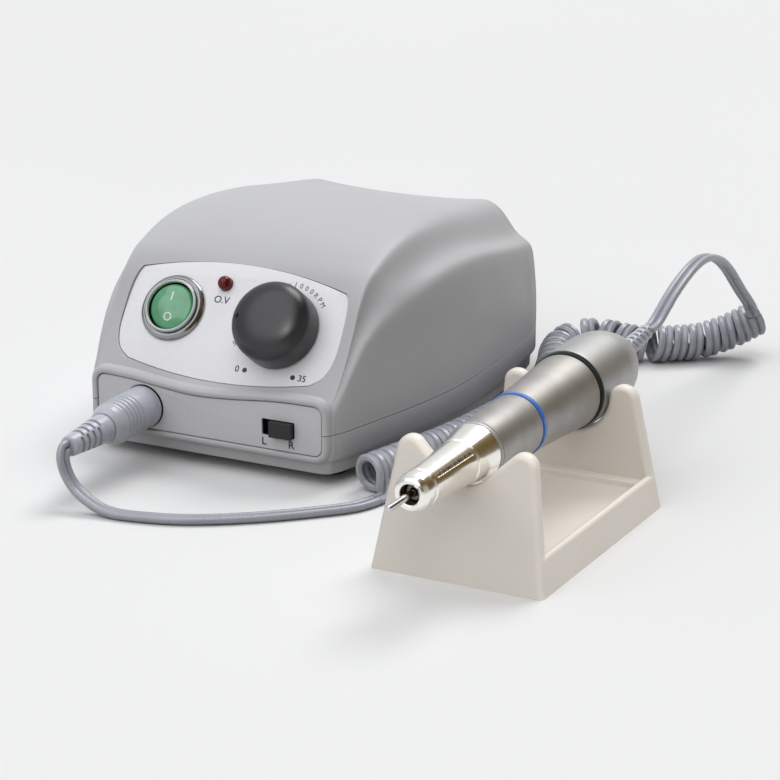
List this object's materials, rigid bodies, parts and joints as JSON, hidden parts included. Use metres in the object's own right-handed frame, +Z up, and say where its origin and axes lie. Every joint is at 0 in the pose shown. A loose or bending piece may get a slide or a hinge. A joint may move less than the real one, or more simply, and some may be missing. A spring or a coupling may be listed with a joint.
{
  "type": "electric nail drill",
  "caption": "Desktop nail drill: mains control box with speed knob and rocker, twist-lock drill handpiece lying in a two-ended cradle, twin cord with a curly middle.",
  "frame": {"origin": "on the table under the middle of the box, cradle and handpiece footprint, cord and plug left out", "axes": "+Z up, -Y towards the front with the knob, +X to the cradle's side"},
  "size_m": [0.2304, 0.3328, 0.083],
  "materials": {
    "grey_shell": "fine textured moulding",
    "silver_sheet": "pale satin sheet",
    "dark_knob": "fine matt moulding",
    "black_plastic": "matt moulding",
    "chrome": "polished",
    "satin_steel": "satin turned",
    "bright_steel": "ground",
    "copper": "enamelled wire",
    "green_lens": "glossy tinted",
    "red_lens": "glossy tinted",
    "board_green": "lacquered board",
    "core_steel": "stacked sheet",
    "warm_plastic": "smooth satin moulding",
    "cord_grey": "soft satin sheath",
    "blue_band": "bright enamel",
    "rubber": "matt"
  },
  "bodies": {
    "box": {"face_plate": "silver_sheet", "switch_bezel": "chrome", "switch_body": "black_plastic", "overload_lamp": "red_lens", "potentiometer_body": "bright_steel", "potentiometer_nut": "bright_steel", "cradle": "warm_plastic", "upper_housing": "grey_shell", "base_housing": "grey_shell", "lower_panel": "silver_sheet", "output_socket": "black_plastic", "direction_switch_body": "black_plastic", "transformer_core": "core_steel", "transformer_winding": "copper", "circuit_board": "board_green", "smoothing_capacitor": "black_plastic", "heat_sink": "satin_steel", "rear_panel": "grey_shell", "mains_inlet": "black_plastic", "pedal_jack": "black_plastic", "fuse_holder": "black_plastic", "lead_cord": "cord_grey", "curly_cord": "cord_grey", "tail_cord": "cord_grey", "rubber_foot_1": "rubber", "housing_screw_1": "bright_steel", "rubber_foot_2": "rubber", "housing_screw_2": "bright_steel", "rubber_foot_3": "rubber", "housing_screw_3": "bright_steel", "rubber_foot_4": "rubber", "housing_screw_4": "bright_steel"},
    "handpiece": {"nose_cone": "chrome", "silver_ring": "satin_steel", "blue_ring": "blue_band", "grip_sleeve": "satin_steel", "seal_ring": "rubber", "motor_case": "satin_steel", "motor_magnets": "core_steel", "motor_end_bell": "black_plastic", "carbon_brush_1": "core_steel", "carbon_brush_2": "core_steel", "front_bearing": "bright_steel", "middle_bearing": "bright_steel", "handpiece_strain_relief": "cord_grey"},
    "rocker": {"rocker_button": "green_lens"},
    "knob": {"speed_knob": "dark_knob", "potentiometer_shaft": "bright_steel"},
    "direction": {"direction_slider": "black_plastic"},
    "fuse": {"fuse_cap": "black_plastic"},
    "plug": {"plug_body": "cord_grey", "plug_boot": "cord_grey", "plug_insert": "black_plastic"},
    "twist": {"twist_sleeve": "satin_steel"},
    "cam": {"chuck_cam_ring": "bright_steel"},
    "spindle": {"spindle_shaft": "bright_steel", "collet": "bright_steel", "motor_rotor": "copper", "commutator": "copper"},
    "bit": {"drill_bit_shank": "bright_steel"}
  },
  "joints": [
    {"name": "rocker_tilt", "type": "hinge", "parent": "box", "child": "rocker", "pos_m": [-0.07309, -0.01481, 0.05325], "axis": [1, 0, 0], "range_deg": [-13, 0]},
    {"name": "speed_turn", "type": "hinge", "parent": "box", "child": "knob", "pos_m": [-0.02679, -0.01615, 0.05138], "axis": [0, -0.8131, 0.5821], "range_deg": [-228, 72]},
    {"name": "direction_slide", "type": "slide", "parent": "box", "child": "direction", "axis": [-1, 0, 0], "range_m": [0, 0.0039]},
    {"name": "fuse_turn", "type": "hinge", "parent": "box", "child": "fuse", "pos_m": [-0.00129, 0.13215, 0.0174], "axis": [0, 1, 0], "range_deg": [0, 90]},
    {"name": "plug_pull", "type": "slide", "parent": "box", "child": "plug", "axis": [0, -1, 0], "range_m": [0, 0.015], "deforming": ["lead_cord"]},
    {"name": "handpiece_lift", "type": "slide", "parent": "box", "child": "handpiece", "axis": [0, 0, 1], "range_m": [0, 0.06], "deforming": ["tail_cord"]},
    {"name": "chuck_twist", "type": "hinge", "parent": "handpiece", "child": "twist", "pos_m": [0.08189, -0.06505, 0.0421], "axis": [0.0192, 0.9998, 0], "range_deg": [0, 60]},
    {"name": "cam_slide", "type": "slide", "parent": "handpiece", "child": "cam", "axis": [0.0192, 0.9998, 0], "range_m": [0, 0.0012]},
    {"name": "spindle_spin", "type": "hinge", "parent": "handpiece", "child": "spindle", "pos_m": [0.08131, -0.09505, 0.0421], "axis": [0.0192, 0.9998, 0], "continuous": true},
    {"name": "bit_out", "type": "slide", "parent": "spindle", "child": "bit", "axis": [-0.0192, -0.9998, 0], "range_m": [0, 0.022]}
  ],
  "couplings": [
    {"joint": "cam_slide", "follows": "chuck_twist", "m_per_rad": 0.0011458}
  ]
}
